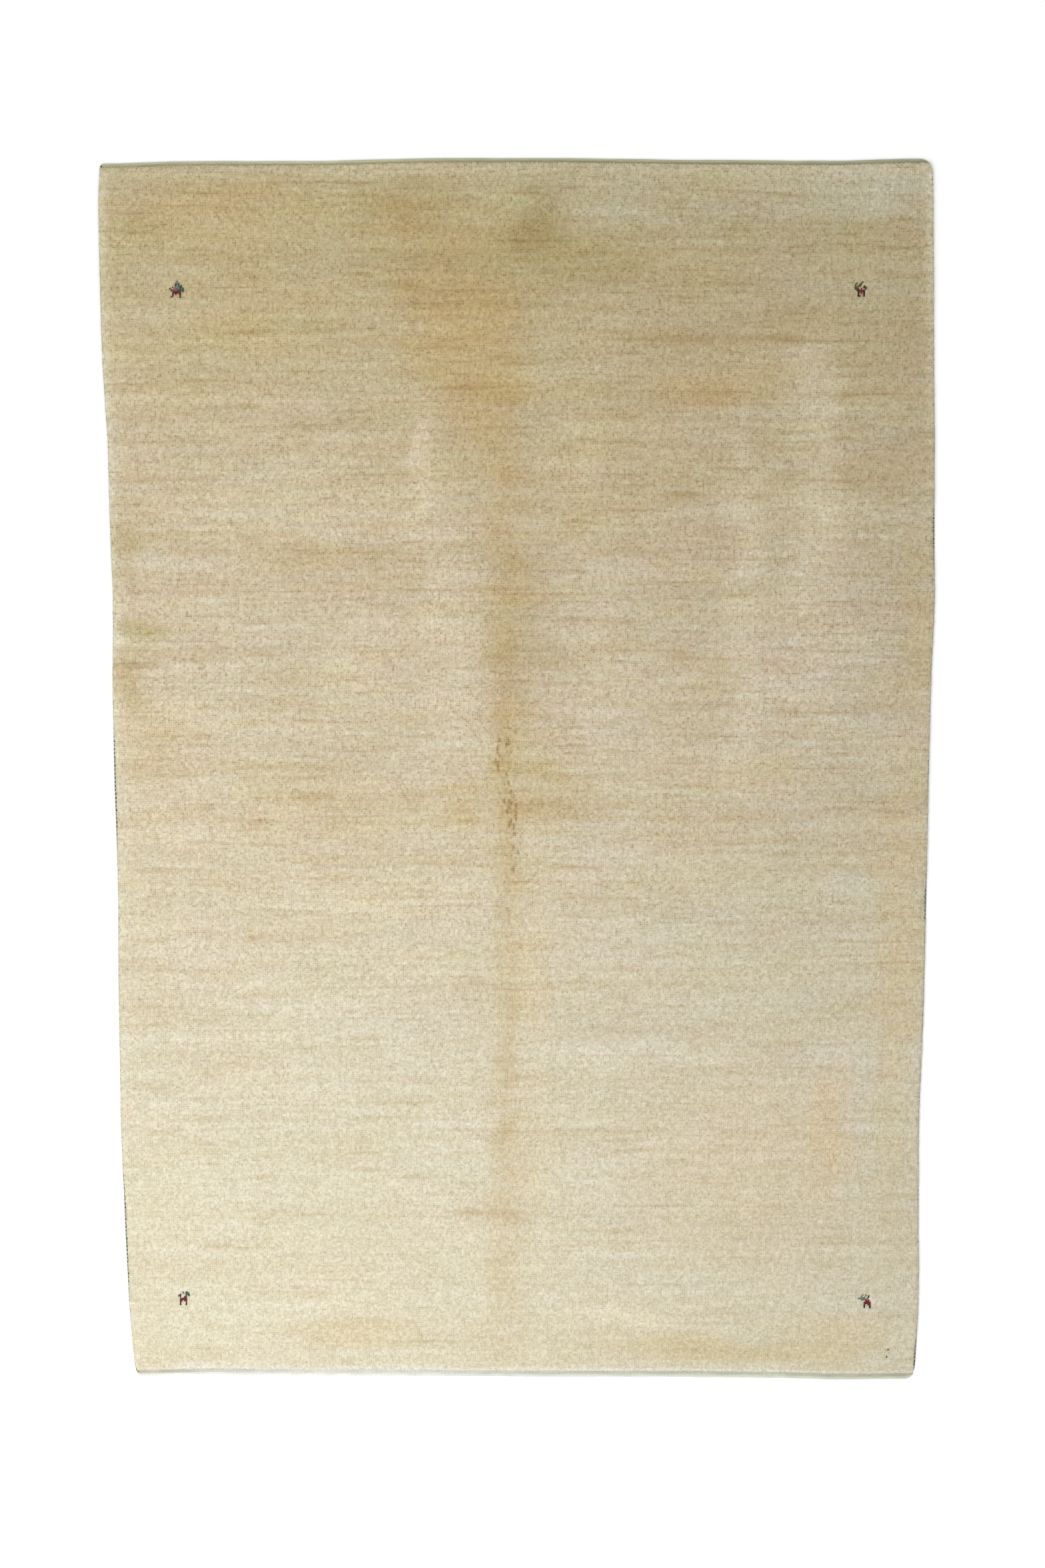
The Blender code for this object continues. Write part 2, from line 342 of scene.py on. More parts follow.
def abrash(x, y):
    """How much lighter or darker each row's yarn is at a place, as a share."""
    shade = sum(amount * soft_noise(x, y, *lump) for amount, *lump in YARN_NOISE)
    dark = np.maximum(soft_noise(x, y, 0.13, 0.006, 27) - 0.52, 0) * 0.20
    lively = np.interp(y, (-1.4, -0.4, 0.3, 1.5), (0.70, 0.95, 1.25, 1.35))
    return (shade - dark) * lively


def store_colour(mesh, colour):
    """Keeps a colour for each vertex, painted shade and sheen included, for the materials to read."""
    layer = mesh.color_attributes.new("wool_colour_and_painted_light", "FLOAT_COLOR", "POINT")
    rgba = np.ones((len(mesh.vertices), 4))
    rgba[:, :3] = linear(np.clip(colour, 0, 1))
    layer.data.foreach_set("color", rgba.ravel())


print("wool at the two ends:", wool_colour_and_painted_light(np.zeros(2), np.array([1.4, -1.4])).round(3).tolist())

# %% [markdown]
# ## Materials
#
# Each finish is built from nodes on a Principled shader. One small helper adds a node with
# its settings and links, so each recipe reads as a short list.

# %% Node helper and finish


def new_material(name):
    """An empty material with its node tree and Principled shader."""
    material = bpy.data.materials.new(name)
    material.use_nodes = True
    return material, material.node_tree, material.node_tree.nodes["Principled BSDF"]


def add_node(tree, kind, inputs=None, **settings):
    """Adds a node. Inputs are values, or sockets to link from."""
    node = tree.nodes.new(kind)
    for name, value in settings.items():
        setattr(node, name, value)
    for key, value in (inputs or {}).items():
        if isinstance(value, bpy.types.NodeSocket):
            tree.links.new(value, node.inputs[key])
        else:
            node.inputs[key].default_value = value
    return node


def finish_wool(tree, shader, colour, bump):
    """The rest of every wool here: matt, and hardly any gloss."""
    tree.links.new(colour, shader.inputs["Base Color"])
    tree.links.new(bump.outputs["Normal"], shader.inputs["Normal"])
    shader.inputs["Roughness"].default_value = 0.95
    shader.inputs["Specular IOR Level"].default_value = 0.2


# %% [markdown]
# ** Knotted wool.** Clipped hand-spun wool is quite matt. Each tuft ends in a brush of fine
# strands, darker between the strands and at the roots, where light doesn't reach; that darkness
# is painted shade. The colour stored on the mesh, with its painted shade and sheen, gives the
# colour, two noises in real millimetres give the strands, with painted shade between them, and
# the small uneven patches of spinning, and a soft sheen stands for the fuzz that catches light
# at the rim. Strands are really 0.1 mm; they are drawn as 2 mm locks, which is as coarse as
# they need to be to show.

# %% Knotted wool
STRAND = 2.0 * MM
SPIN = 9 * MM


def make_wool(name):
    """Wool yarn, coloured by the colour stored on the mesh, painted shade and sheen included."""
    material, tree, shader = new_material(name)
    place = add_node(tree, "ShaderNodeTexCoord").outputs["Object"]
    colour = add_node(tree, "ShaderNodeAttribute", attribute_name="wool_colour_and_painted_light").outputs["Color"]
    strands = add_node(tree, "ShaderNodeTexNoise", {"Vector": place, "Scale": 1 / STRAND, "Detail": 2.0})
    spin = add_node(tree, "ShaderNodeTexNoise", {"Vector": place, "Scale": 1 / SPIN, "Detail": 3.0})
    # Painted shade between the strands where the noise is low, with the strands' own tone
    shade = add_node(
        tree,
        "ShaderNodeMapRange",
        {"Value": strands.outputs["Fac"], "From Min": 0.3, "From Max": 0.7, "To Min": 0.80, "To Max": 1.16},
    )
    patch = add_node(
        tree,
        "ShaderNodeMapRange",
        {"Value": spin.outputs["Fac"], "From Min": 0.3, "From Max": 0.7, "To Min": 0.985, "To Max": 1.015},
    )
    both = add_node(
        tree, "ShaderNodeMath", {0: shade.outputs["Result"], 1: patch.outputs["Result"]}, operation="MULTIPLY"
    )
    spun = add_node(tree, "ShaderNodeVectorMath", {0: colour, 3: both.outputs[0]}, operation="SCALE")
    bump = add_node(
        tree, "ShaderNodeBump", {"Height": strands.outputs["Fac"], "Strength": 0.5, "Distance": 0.6 * MM}
    )
    finish_wool(tree, shader, spun.outputs[0], bump)
    shader.inputs["Sheen Weight"].default_value = 0.25
    shader.inputs["Sheen Roughness"].default_value = 0.5
    return material


wool = make_wool("knotted_wool")
print("material:", wool.name)

# %% [markdown]
# ## The pile
#
# A knot is tied at each crossing of a row and a pair of warps. So the field starts as a plain
# grid with one square for each knot, and Poke adds a point in the middle of every square: that
# point is the tuft's tip, and the grid's own corners are the valleys between four tufts. The
# field is made in lengthwise strips, because one mesh for the whole rug would be too big for a
# tidy file. Neighbouring strips share their edge points, so no seam shows.
#
# At the rim the tufts fan out over the cord. The grid is therefore laid out along the surface
# as it rounds over, and not straight down onto it.

# %% How the rim rounds over
SIDE_RIM = (15.0 * MM, 7.4 * MM)
END_RIM = (10.0 * MM, 8.4 * MM)
RIM_FOOT = {"side": 5.6 * MM, "end": 4.6 * MM}
COVER = {"hidden": 5.2 * MM, "shown": 2.2 * MM}

# Where the wrapped cord shows past the tufts: side, middle y, half length
BARE_STRETCHES = (
    (0, 0.00, 0.14),
    (0, -1.13, 0.15),
    (1, -0.28, 0.05),
    (1, -1.45, 0.05),
    (1, 0.62, 0.06),
    (0, 1.490, 0.008),
    (0, -1.488, 0.008),
)


def rounded(unrolled, reach, rise):
    """Distance along a quarter-ellipse rim as how far in it lies, and the share it has risen."""
    arc = math.pi / 2 * math.sqrt((reach**2 + rise**2) / 2)
    turn = np.clip(unrolled / arc, 0, 1) * math.pi / 2
    inset = reach * (1 - np.cos(turn)) + np.maximum(unrolled - arc, 0)
    return inset, np.sin(turn)


def cover_at(y, side):
    """How far the tufts reach out past the woven edge."""
    shown = np.zeros_like(y)
    for where, middle, half in BARE_STRETCHES:
        if where == side:
            shown = np.maximum(shown, np.exp(-(((y - middle) / half) ** 4)))
    return COVER["hidden"] + (COVER["shown"] - COVER["hidden"]) * shown


def rim_length(reach, rise):
    """How much longer the rounded rim is than the floor under it."""
    return math.pi / 2 * math.sqrt((reach**2 + rise**2) / 2) - reach


WIDE = float(np.mean(sides[:, 1] - sides[:, 0])) + 2 * COVER["hidden"]
LONG = float(np.mean(ends[:, 1] - ends[:, 0])) - HEM_WIDTH["first"] - HEM_WIDTH["last"]
UNROLLED_WIDE = WIDE + 2 * rim_length(*SIDE_RIM)
UNROLLED_LONG = LONG + 2 * rim_length(*END_RIM)
COLUMNS = round(UNROLLED_WIDE / KNOT_ACROSS / PILE_STRIPS) * PILE_STRIPS
ROWS = round(UNROLLED_LONG / KNOT_ALONG / 3) * 3
print("knots:", COLUMNS, "across by", ROWS, "along, about", COLUMNS * ROWS)


def lay(u, v):
    """Places points of the unrolled field, u and v from 0 to 1, on the rounded rug."""
    from_left, from_right = u * UNROLLED_WIDE, (1 - u) * UNROLLED_WIDE
    in_left, up_left = rounded(from_left, *SIDE_RIM)
    in_right, up_right = rounded(from_right, *SIDE_RIM)
    in_first, up_first = rounded(v * UNROLLED_LONG, *END_RIM)
    in_last, up_last = rounded((1 - v) * UNROLLED_LONG, *END_RIM)
    x = -WIDE / 2 + WIDE * u
    for _ in range(3):
        first = end_at(x, 0) + HEM_WIDTH["first"] + in_first
        last = end_at(x, 1) - HEM_WIDTH["last"] - in_last
        y = first * (1 - v) + last * v
        left = side_at(y, 0) - cover_at(y, 0) + in_left
        right = side_at(y, 1) + cover_at(y, 1) - in_right
        x = left * (1 - u) + right * u
    up_side = np.minimum(up_left, up_right)
    up_end = np.minimum(up_first, up_last)
    return x, y, up_side, up_end


# %% [markdown]
# The clipped surface follows the frame's soft swells and its fold. The frame's height is read
# once on a coarse grid well inside the rim, because it changes slowly.

# %% The clipped surface
CLIP_COLUMNS, CLIP_ROWS = 61, 91
INSIDE = 34 * MM
clip_x = np.linspace(cad_box[0][0] + INSIDE, cad_box[1][0] - INSIDE, CLIP_COLUMNS)
clip_y = np.linspace(cad_box[0][1] + INSIDE + 12 * MM, cad_box[1][1] - INSIDE - 8 * MM, CLIP_ROWS)
grid_x, grid_y = np.meshgrid(clip_x, clip_y, indexing="ij")
inside_x = np.clip(grid_x, side_at(grid_y, 0) + INSIDE, side_at(grid_y, 1) - INSIDE)
clip_z = height_at(inside_x.ravel(), grid_y.ravel()).reshape(CLIP_COLUMNS, CLIP_ROWS)
print("clipped surface from", clip_z.min().round(4), "to", clip_z.max().round(4))


def clipped(x, y):
    """The height of the clipped pile, read from the frame's own surface."""
    u = np.clip((x - clip_x[0]) / (clip_x[1] - clip_x[0]), 0, CLIP_COLUMNS - 1.001)
    v = np.clip((y - clip_y[0]) / (clip_y[1] - clip_y[0]), 0, CLIP_ROWS - 1.001)
    column, row = u.astype(int), v.astype(int)
    fx, fy = u - column, v - row
    lower = clip_z[column, row] * (1 - fx) + clip_z[column + 1, row] * fx
    upper = clip_z[column, row + 1] * (1 - fx) + clip_z[column + 1, row + 1] * fx
    return lower * (1 - fy) + upper * fy


def surface(u, v):
    """The smooth pile surface, before any tuft is raised: x, y and z."""
    x, y, up_side, up_end = lay(u, v)
    top = clipped(x, y)
    side_z = RIM_FOOT["side"] + (top - RIM_FOOT["side"]) * up_side
    end_z = RIM_FOOT["end"] + (top - RIM_FOOT["end"]) * up_end
    return np.stack([x, y, np.minimum(side_z, end_z)], 1)


# %% [markdown]
# Now the goats' places and the slits are needed, because the field makes room for both. Where
# a goat stands, the field's own tufts are pressed down, and the goat's finer knots fill the
# hollow to the same clipped height. Along the fold the pile has parted in short slits.

# %% The goats' charts
# Each goat's middle, then its rows of knots. One letter is one knot:
# g green, k grey green, o olive, r red, c crimson, b brown, d dark, p rose
CHART_KNOT = (3.5 * MM, 3.3 * MM)
GOATS = {
    "goat_last_left": (
        (-0.825, 1.202),
        ".....k....",
        "....k.k...",
        "....gkg...",
        "....g.gkg.",
        "..b..pkgg.",
        "b..ppp.g.g",
        ".bppppgggg",
        "..crccrc.g",
        "..rcdcrr..",
        "..b.r..b..",
        "..d....d..",
        ".d.....d..",
    ),
    "goat_last_right": (
        (0.815, 1.203),
        ".....o..",
        ".o..o...",
        "o..oo...",
        "o.oo..b.",
        "oo....bb",
        "oob.r..b",
        ".bbcrcb.",
        "..drcrd.",
        "..d.c.d.",
        "..d...d.",
        "..dd..d.",
    ),
    "goat_first_left": (
        (-0.849, -1.296),
        "...k.gg.",
        "...k.g.g",
        ".b...kgg",
        "bb...g.g",
        ".b..rg..",
        ".rrrrr..",
        ".rrcrr..",
        ".rr.rr..",
        ".b...b..",
        ".d...d..",
        ".d...d..",
    ),
    "goat_first_right": (
        (0.869, -1.304),
        "...k.k....",
        "..k..k.b..",
        "..k.k..b..",
        "kk.kk.r...",
        "..kkkr.r..",
        ".....rrr..",
        "....rrcrr.",
        "....rcrrr.",
        "....d..rd.",
        "....d...d.",
        "....d...d.",
    ),
}
SPECKS = ((0.929, -1.430), (0.926, -1.449))
SPECK_CHART = ("d",)


def knots_of(chart, at):
    """Each coloured knot of a chart: x, y and its letter."""
    knots = []
    for row, letters in enumerate(chart):
        for column, letter in enumerate(letters):
            if letter != ".":
                x = at[0] + (column - (len(letters) - 1) / 2) * CHART_KNOT[0]
                y = at[1] + ((len(chart) - 1) / 2 - row) * CHART_KNOT[1]
                knots.append((x, y, letter))
    return knots


motif_knots = {name: knots_of(chart, at) for name, (at, *chart) in GOATS.items()}
for number, at in enumerate(SPECKS):
    motif_knots[f"speck_{number}"] = knots_of(SPECK_CHART, at)
print("motif knots:", {name: len(knots) for name, knots in motif_knots.items()})

# %% The slits along the fold
# Stretches of the fold: from y, to y, slits, distance from the fold's middle, spread
SLIT_STRETCHES = (
    (0.04, 0.12, 10, -0.017, 0.003),
    (0.01, 0.12, 9, 0.009, 0.003),
    (-0.12, -0.01, 9, 0.003, 0.004),
    (-0.13, -0.02, 9, 0.021, 0.004),
    (-0.24, -0.13, 4, 0.014, 0.004),
)
band = np.array(sorted(CREASE_BAND))
slits = []
for low, high, count, aside, spread in SLIT_STRETCHES:
    for _ in range(count):
        slit_y = rng.uniform(low, high)
        slit_x = np.interp(slit_y, band[:, 0], band[:, 1]) + aside + rng.normal(0, spread)
        slits.append((slit_x, slit_y))
slits = np.array(slits)
SLIT_HALF = (2.4 * MM, 5.6 * MM)
print("slits:", len(slits))


def near_any(x, y, places, half_x, half_y):
    """Whether each point lies inside a small box round any of some places."""
    found = np.zeros(len(x), bool)
    for at_x, at_y in places:
        found |= (np.abs(x - at_x) < half_x) & (np.abs(y - at_y) < half_y)
    return found


# %% [markdown]
# Raising the tufts. Tips go out along the surface's own normal and valleys go in, each by its
# own amount, and every point strays sideways a little, because hand-knotted tufts lean on
# their neighbours. Noise is drawn per place, so points that two strips share stray alike.

# %% Tufts
TUFT_UP = 0.7 * MM
VALLEY_DOWN = 1.1 * MM
UNEVEN, TIP_UNEVEN, VALLEY_UNEVEN = 0.25 * MM, 0.20 * MM, 0.6 * MM
ASIDE = (1.4 * MM, 1.3 * MM)
UNDER_GOAT = 3.2 * MM
SLIT_DOWN = 3.0 * MM
# Painted shade at the tufts' roots, in the valleys between them
PAINTED_ROOT_SHADE = 0.085
KNOT_SPREAD = 0.028
NEAR = 0.25

# Darker yarn is warmer too: how strongly a shade acts on red, green and blue
ROW_TINT = np.array([0.66, 0.97, 1.48])
# TUFT_TINT also tints the painted shade in the valleys
TUFT_TINT = np.array([0.80, 0.97, 1.28])


def stray(u, v, seed):
    """A number from -1 to 1 for each point of the field, the same for both strips at a seam."""
    column = np.round(u * COLUMNS * 2).astype(np.int64)
    row = np.round(v * ROWS * 2).astype(np.int64)
    mixed = (column * 73856093) ^ (row * 19349663) ^ (seed * 83492791)
    mixed = (mixed ^ (mixed >> 13)) * 1274126177 & 0x7FFFFFFF
    mixed = (mixed ^ (mixed >> 15)) * 668265263 & 0x7FFFFFFF
    return mixed / 0x3FFFFFFF - 1


def read_vectors(items, name, width=3):
    """A named value of every item, as rows of numbers."""
    found = np.empty(len(items) * width, np.float32)
    items.foreach_get(name, found)
    return found.reshape(-1, width).astype(float)


def write_places(mesh, places):
    """Moves every vertex of a mesh."""
    mesh.vertices.foreach_set("co", places.astype(np.float32).ravel())
    mesh.update()


def surface_normal(u, v):
    """The smooth surface's own direction, worked out from nearby places."""
    step_u, step_v = NEAR / COLUMNS, NEAR / ROWS
    along_u = surface(np.minimum(u + step_u, 1), v) - surface(np.maximum(u - step_u, 0), v)
    along_v = surface(u, np.minimum(v + step_v, 1)) - surface(u, np.maximum(v - step_v, 0))
    normal = np.cross(along_u, along_v)
    return normal / np.linalg.norm(normal, axis=1)[:, None]


def with_painted_rim_sheen(colour, x, y):
    """A colour made paler near the sides, and where the pile leans over the hems, as painted sheen."""
    pale = np.zeros(len(x))
    for side, (stretch, shares) in enumerate(RIM_SHARES):
        inset = (x - side_at(y, side)) * (1 - 2 * side)
        pale += np.clip(1 - inset / RIM_BAND, 0, 1) ** 1.5 * np.interp(y, stretch, shares)
    colour = blended(colour, RIM_SHEEN, pale)
    from_first = y - end_at(x, 0) - HEM_WIDTH["first"]
    from_last = end_at(x, 1) - HEM_WIDTH["last"] - y
    reach, strength = np.interp(x, *LEANING[:2]), np.interp(x, LEANING[0], LEANING[2])
    leaning = strength * np.clip(1 - from_first / (reach * MM), 0, 1) ** 0.8
    colour = blended(colour, LEANING_SHEEN["first"], leaning)
    leaning = LAST_SHARE * np.clip(1 - from_last / LAST_REACH, 0, 1)
    return blended(colour, LEANING_SHEEN["last"], leaning)


def tuft_colour(x, y, u, v, tips, parted):
    """The wool colour with its row's yarn and its tuft's own tone, and painted shade in the valleys."""
    colour = with_painted_rim_sheen(blended(wool_colour_and_painted_light(x, y), SLIT_SHADE_BROWN, SLIT_SHADE_SHARE * parted), x, y)
    lively = np.interp(y, (-1.4, 0.3), (0.55, 1.35))
    # Painted shade in the valleys, deeper in some of them and in the slits
    deep_valley_shade = np.where(stray(u, v, 8) > 0.75, 0.10, 0.0)
    root = PAINTED_ROOT_SHADE + 0.08 * stray(u, v, 7) + deep_valley_shade * lively + 0.12 * parted
    tuft = KNOT_SPREAD * lively * stray(u, v, 6) - np.where(tips, 0, root)
    shade = (1 + abrash(x, y)[:, None] * ROW_TINT) * (1 + tuft[:, None] * TUFT_TINT)
    return colour * CLIP_LOSS * shade


def raise_tufts(mesh, u, v, tips):
    """Turns the field into tufts and valleys, and gives each point its colour."""
    places = surface(u, v)
    x, y = places[:, 0].copy(), places[:, 1].copy()
    up = np.where(tips, TUFT_UP, -VALLEY_DOWN) + UNEVEN * stray(u, v, 1)
    low = VALLEY_UNEVEN * np.minimum(stray(u, v, 3), 0)
    up += np.where(tips, TIP_UNEVEN * stray(u, v, 2), low)
    hollow = np.zeros(len(x), bool)
    for knots in motif_knots.values():
        centres = [knot[:2] for knot in knots]
        hollow |= near_any(x, y, centres, 0.85 * CHART_KNOT[0], 0.85 * CHART_KNOT[1])
    parted = near_any(x, y, slits, *SLIT_HALF)
    up = np.where(hollow, -UNDER_GOAT, up)
    up = np.where(parted & ~tips, -SLIT_DOWN, up)
    places += surface_normal(u, v) * up[:, None]
    places[:, 0] += ASIDE[0] * stray(u, v, 4)
    places[:, 1] += ASIDE[1] * stray(u, v, 5)
    write_places(mesh, places)
    store_colour(mesh, tuft_colour(x, y, u, v, tips, parted))


# %% Mesh helpers


def deselect_everything():
    """Clears the selection, which operators act on."""
    if bpy.context.object and bpy.context.object.mode != "OBJECT":
        bpy.ops.object.mode_set(mode="OBJECT")
    bpy.ops.object.select_all(action="DESELECT")


def add_grid(name, columns, rows):
    """A flat grid of squares as the active object, and each point's share across and along."""
    deselect_everything()
    bpy.ops.mesh.primitive_grid_add(x_subdivisions=columns, y_subdivisions=rows, size=2)
    grid = bpy.context.object
    grid.name = grid.data.name = name
    flat = read_vectors(grid.data.vertices, "co")
    return grid, (flat[:, 0] + 1) / 2, (flat[:, 1] + 1) / 2


def select_open_rim():
    """In edit mode, selects the edges that have only one face."""
    bpy.ops.mesh.select_mode(type="EDGE")
    bpy.ops.mesh.select_all(action="DESELECT")
    bpy.ops.mesh.select_non_manifold(
        extend=False, use_wire=False, use_multi_face=False, use_non_contiguous=False, use_verts=False
    )


def point_outwards():
    """In edit mode, turns every face outwards and leaves edit mode."""
    bpy.ops.mesh.select_all(action="SELECT")
    bpy.ops.mesh.normals_make_consistent(inside=False)
    bpy.ops.mesh.select_all(action="DESELECT")
    bpy.ops.object.mode_set(mode="OBJECT")


def smooth_first(mesh, count):
    """Smooth shading for the first faces of a mesh, and flat for the rest."""
    smooth = np.arange(len(mesh.polygons)) < count
    mesh.polygons.foreach_set("use_smooth", smooth)


# %% [markdown]
# **Maps for baking.** Whoever reuses a piece may bake its colour to a picture. A strip or a
# cord is long and thin, so its map is cut in bands laid side by side, and no part of the
# picture is wasted. Faces that nobody sees each get a small cell along the top.

# %% Bake maps
CELL_STRIP = 0.025
CELLS_FROM = 0.97
MAP_FOOT, MAP_HEIGHT = 0.005, 0.955


def face_loops(mesh):
    """For every loop: its face, its place in the face, the face's loop count and its vertex."""
    starts = np.empty(len(mesh.polygons), np.int32)
    counts = np.empty(len(mesh.polygons), np.int32)
    vertices = np.empty(len(mesh.loops), np.int32)
    mesh.polygons.foreach_get("loop_start", starts)
    mesh.polygons.foreach_get("loop_total", counts)
    mesh.loops.foreach_get("vertex_index", vertices)
    face = np.repeat(np.arange(len(starts)), counts)
    return face, np.arange(len(vertices)) - starts[face], counts[face], vertices, starts


def lay_bake_map(mesh, across, along_it, bands):
    """Maps a long piece in bands, from each point's share across and along it."""
    face, _, count, vertex, starts = face_loops(mesh)
    middle = np.add.reduceat(along_it[vertex] / count, starts)
    band = np.clip((middle * bands).astype(int), 0, bands - 1)[face]
    u = (band + 0.02 + 0.96 * across[vertex]) / bands
    v = MAP_FOOT + MAP_HEIGHT * (along_it[vertex] * bands - band)
    layer = mesh.uv_layers.new(name="OFBake")
    layer.uv.foreach_set("vector", np.stack([u, v], 1).astype(np.float32).ravel())


def cell_hidden_faces(mesh, shown):
    """Gives every face after the shown ones a small cell of the bake map."""
    face, place, count, _, _ = face_loops(mesh)
    layer = mesh.uv_layers["OFBake"]
    uv = np.empty(len(face) * 2, np.float32)
    layer.uv.foreach_get("vector", uv)
    uv = uv.reshape(-1, 2)
    hidden = face >= shown
    number = face[hidden] - shown
    per_row = math.ceil(math.sqrt((len(mesh.polygons) - shown + 1) / CELL_STRIP))
    turn = 2 * math.pi * place[hidden] / count[hidden]
    uv[hidden, 0] = (number % per_row + 0.5 + 0.4 * np.cos(turn)) / per_row
    uv[hidden, 1] = CELLS_FROM + (number // per_row + 0.5 + 0.4 * np.sin(turn)) / per_row
    layer.uv.foreach_set("vector", uv.ravel())


# %% [markdown]
# A strip is closed in two steps, as a tuft is: from the rim it draws in over the cord or the
# hem, then goes straight down into the backing. Those hidden faces are kept flat shaded, so
# that they don't darken the tufts beside them.

# %% Close a strip underneath
TUCK_SIDE = 5.95 * MM
TUCK_END = 4.5 * MM


def draw_rim_in(piece, tuck):
    """Extrudes the open rim once and places the new points."""
    old = len(piece.data.vertices)
    bpy.ops.object.mode_set(mode="EDIT")
    select_open_rim()
    bpy.ops.mesh.extrude_region_move()
    bpy.ops.object.mode_set(mode="OBJECT")
    places = read_vectors(piece.data.vertices, "co")
    places[old:] = tuck(places[old:])
    write_places(piece.data, places)


def tuck_over_edges(places):
    """The rim's first step: back over the cord at the sides and over the hem at the ends."""
    x, y = places[:, 0], places[:, 1]
    left, right = side_at(y, 0) - 0.4 * MM, side_at(y, 1) + 0.4 * MM
    first, last = end_at(x, 0) + HEM_WIDTH["first"], end_at(x, 1) - HEM_WIDTH["last"]
    over_side = (x < left) | (x > right)
    over_end = (y < first + 4 * MM) | (y > last - 4 * MM)
    z = np.minimum(places[:, 2], np.where(over_side, TUCK_SIDE, np.where(over_end, TUCK_END, 9)))
    return np.stack([np.clip(x, left, right), np.clip(y, first + 2 * MM, last - 2 * MM), z], 1)


def drop_into_backing(places):
    """The rim's second step: down into the backing."""
    return np.stack([places[:, 0], places[:, 1], np.full(len(places), BACKING - 0.2 * MM)], 1)


def close_underneath(piece):
    """Makes an open strip a closed body."""
    shown = len(piece.data.polygons)
    draw_rim_in(piece, tuck_over_edges)
    draw_rim_in(piece, drop_into_backing)
    bpy.ops.object.mode_set(mode="EDIT")
    select_open_rim()
    bpy.ops.mesh.edge_face_add()
    bpy.ops.mesh.quads_convert_to_tris(quad_method="BEAUTY", ngon_method="BEAUTY")
    point_outwards()
    smooth_first(piece.data, shown)
    cell_hidden_faces(piece.data, shown)


# %% A strip of pile
BANDS_STRIP = 3


def make_strip(number):
    """One lengthwise strip of the pile, closed underneath."""
    columns = COLUMNS // PILE_STRIPS
    strip, _, _ = add_grid(f"pile_strip_{number}", columns, ROWS)
    bpy.ops.object.mode_set(mode="EDIT")
    bpy.ops.mesh.select_all(action="SELECT")
    bpy.ops.mesh.poke()
    bpy.ops.object.mode_set(mode="OBJECT")
    flat = read_vectors(strip.data.vertices, "co")
    across, v = (flat[:, 0] + 1) / 2, (flat[:, 1] + 1) / 2
    tips = np.arange(len(flat)) >= (columns + 1) * (ROWS + 1)
    lay_bake_map(strip.data, across, v, BANDS_STRIP)
    raise_tufts(strip.data, (number + across) / PILE_STRIPS, v, tips)
    close_underneath(strip)
    strip.data.materials.append(wool)
    print(strip.name, len(strip.data.polygons), "faces")
    return strip


strips = [make_strip(number) for number in range(PILE_STRIPS)]

# %% [markdown]
# ## The goats
#
# The motif knots are charted like cross-stitch, one letter a knot. Each is a small dome of
# wool set in the field's hollow, its rim tucked under its neighbours, so that a goat reads as
# a few crisp tufts and not as paint.

# %% Goats
DYES = {
    "g": "#37564c",
    "k": "#71847a",
    "o": "#55502a",
    "r": "#7a2420",
    "c": "#8e1f22",
    "b": "#43241a",
    "d": "#180d10",
    "p": "#8f7672",
}
TUFT_HALF = (2.3 * MM, 2.1 * MM, 3.4 * MM)
TUFT_PROUD = 0.5 * MM


def make_motif(name, knots):
    """One mesh of small woollen domes, one for each charted knot."""
    domes = []
    deselect_everything()
    for x, y, letter in knots:
        x += 0.3 * MM * rng.uniform(-1, 1)
        y += 0.3 * MM * rng.uniform(-1, 1)
        top = float(clipped(np.array([x]), np.array([y]))[0]) + TUFT_PROUD + 0.3 * MM * rng.uniform(-1, 1)
        bpy.ops.mesh.primitive_uv_sphere_add(
            segments=8, ring_count=5, radius=1, location=(x, y, top - TUFT_HALF[2]), scale=TUFT_HALF
        )
        dome = bpy.context.object
        bpy.ops.object.transform_apply(location=True, rotation=True, scale=True)
        places = read_vectors(dome.data.vertices, "co")
        # Painted shade at the foot of each dome, where it sinks among its neighbours; each knot also gets its
        # own random tone
        low = np.clip((top - places[:, 2]) / (TUFT_HALF[2] * 1.1), 0, 1)
        shade = (1 - 0.35 * low) * (1 + 0.08 * rng.uniform(-1, 1))
        store_colour(dome.data, srgb(DYES[letter])[None, :] * shade[:, None])
        domes.append(dome)
    deselect_everything()
    for dome in domes:
        dome.select_set(True)
    bpy.context.view_layer.objects.active = domes[0]
    if len(domes) > 1:
        bpy.ops.object.join()
    motif = bpy.context.object
    motif.name = motif.data.name = name
    bpy.ops.object.shade_smooth()
    motif.data.materials.clear()
    motif.data.materials.append(wool)
    print(name, len(knots), "knots", len(motif.data.polygons), "faces")
    return motif


motifs = [make_motif(name, knots) for name, knots in motif_knots.items()]

# %% [markdown]
# ## The backing
#
# Under the pile is the cloth itself: warps, wefts and the backs of the knots, about 3 mm
# thick. It is one thin sheet with the rug's outline, a little thinner at the ends, where the
# hem folds round it. From below, the knots show as rows of small beads.

# %% Backing material
ROW_PITCH = 4.2 * MM

# Blender's wave has 20 times its scale, over two pi, bands to the metre
WAVE_SCALE = 2 * math.pi / (20 * ROW_PITCH)


